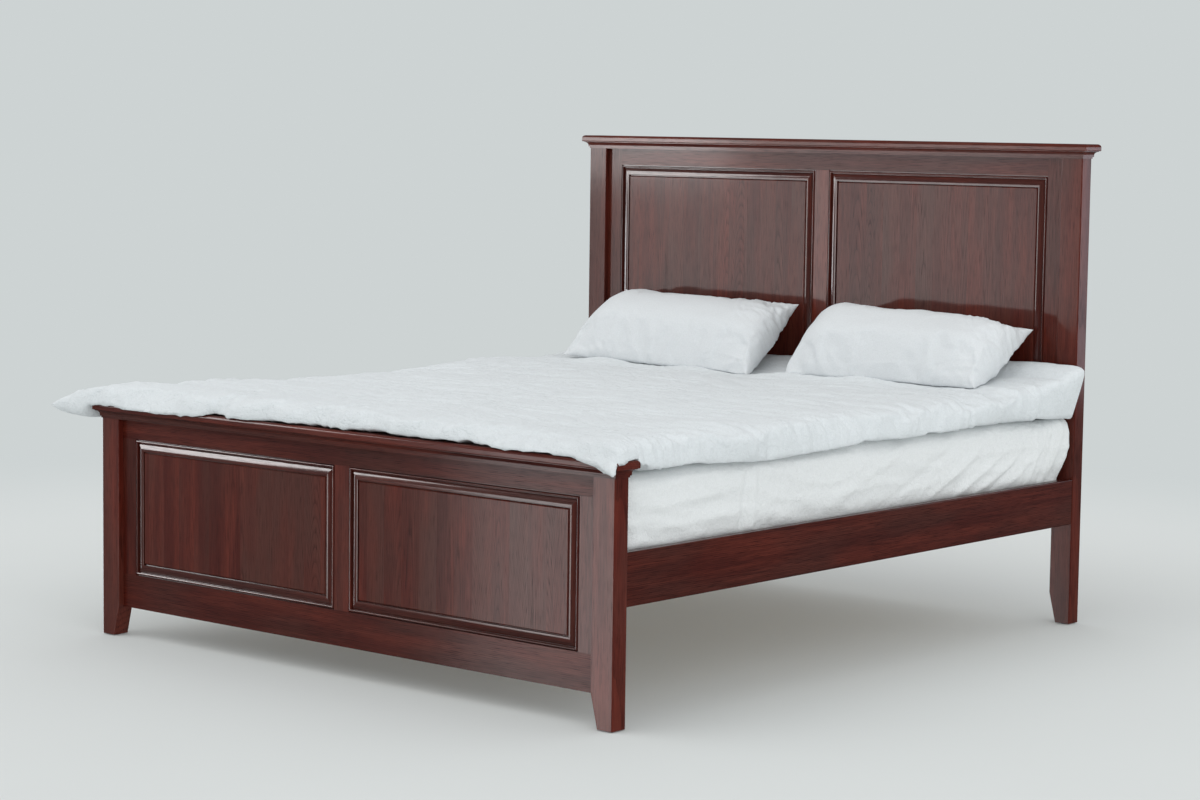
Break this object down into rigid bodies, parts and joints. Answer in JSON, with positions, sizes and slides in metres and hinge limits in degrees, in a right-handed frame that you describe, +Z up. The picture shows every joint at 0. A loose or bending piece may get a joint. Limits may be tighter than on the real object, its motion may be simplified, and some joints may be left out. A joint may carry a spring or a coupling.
{
  "type": "panel bed",
  "caption": "Double bed in dark stained oak with a raised-panel headboard and footboard, slatted base, mattress, thick duvet and pillows.",
  "frame": {"origin": "on the floor under the middle of the bed, at the underside of the centre leg's glide", "axes": "+X towards the bed's right side as seen from its foot, +Y towards the headboard, +Z up"},
  "size_m": [2.1021, 2.172, 1.407],
  "materials": {
    "stained_oak": "dark red-brown stained oak under satin lacquer",
    "slat_pine": "plain planed softwood",
    "beech_dowel": "fluted beech dowel",
    "zinc_steel": "zinc plated",
    "glide_nylon": "dark nylon glide",
    "fitted_sheet": "white cotton fitted sheet",
    "duvet_cotton": "white cotton duvet cover",
    "pillow_cotton": "white cotton pillowcase"
  },
  "bodies": {
    "frame": {"beam_bracket_foot": "zinc_steel", "beam_bracket_head": "zinc_steel", "centre_beam": "slat_pine", "centre_leg": "slat_pine", "dowels": "beech_dowel", "fitting_screws": "zinc_steel", "floor_glides": "glide_nylon", "foot_bottom_rail": "stained_oak", "foot_cap": "stained_oak", "foot_cap_moulding": "stained_oak", "foot_mid_stile": "stained_oak", "foot_moulding_left": "stained_oak", "foot_moulding_right": "stained_oak", "foot_panel_left": "stained_oak", "foot_panel_right": "stained_oak", "foot_post_left": "stained_oak", "foot_post_right": "stained_oak", "foot_stile_left": "stained_oak", "foot_stile_right": "stained_oak", "foot_top_rail": "stained_oak", "head_bottom_rail": "stained_oak", "head_cap": "stained_oak", "head_cap_moulding": "stained_oak", "head_mid_stile": "stained_oak", "head_moulding_left": "stained_oak", "head_moulding_right": "stained_oak", "head_panel_left": "stained_oak", "head_panel_right": "stained_oak", "head_post_left": "stained_oak", "head_post_right": "stained_oak", "head_stile_left": "stained_oak", "head_stile_right": "stained_oak", "head_top_rail": "stained_oak", "ledger_screws": "zinc_steel", "post_slot_plates": "zinc_steel", "rail_hook_plates": "zinc_steel", "side_rail_left": "stained_oak", "side_rail_right": "stained_oak", "slat_01": "slat_pine", "slat_02": "slat_pine", "slat_03": "slat_pine", "slat_04": "slat_pine", "slat_05": "slat_pine", "slat_06": "slat_pine", "slat_07": "slat_pine", "slat_08": "slat_pine", "slat_09": "slat_pine", "slat_10": "slat_pine", "slat_11": "slat_pine", "slat_12": "slat_pine", "slat_13": "slat_pine", "slat_14": "slat_pine", "slat_ledger_left": "slat_pine", "slat_ledger_right": "slat_pine", "slat_screws": "zinc_steel"},
    "mattress": {"mattress": "fitted_sheet"},
    "duvet": {"duvet": "duvet_cotton"},
    "pillow_left": {"pillow_left": "pillow_cotton"},
    "pillow_right": {"pillow_right": "pillow_cotton"}
  },
  "joints": [
    {"name": "mattress_lift", "type": "slide", "parent": "frame", "child": "mattress", "axis": [0, 0, 1], "range_m": [0, 0.3]},
    {"name": "duvet_lift", "type": "slide", "parent": "mattress", "child": "duvet", "axis": [0, 0, 1], "range_m": [0, 0.25]},
    {"name": "pillow_left_lift", "type": "slide", "parent": "duvet", "child": "pillow_left", "axis": [0, 0, 1], "range_m": [0, 0.25]},
    {"name": "pillow_right_lift", "type": "slide", "parent": "duvet", "child": "pillow_right", "axis": [0, 0, 1], "range_m": [0, 0.25]}
  ]
}
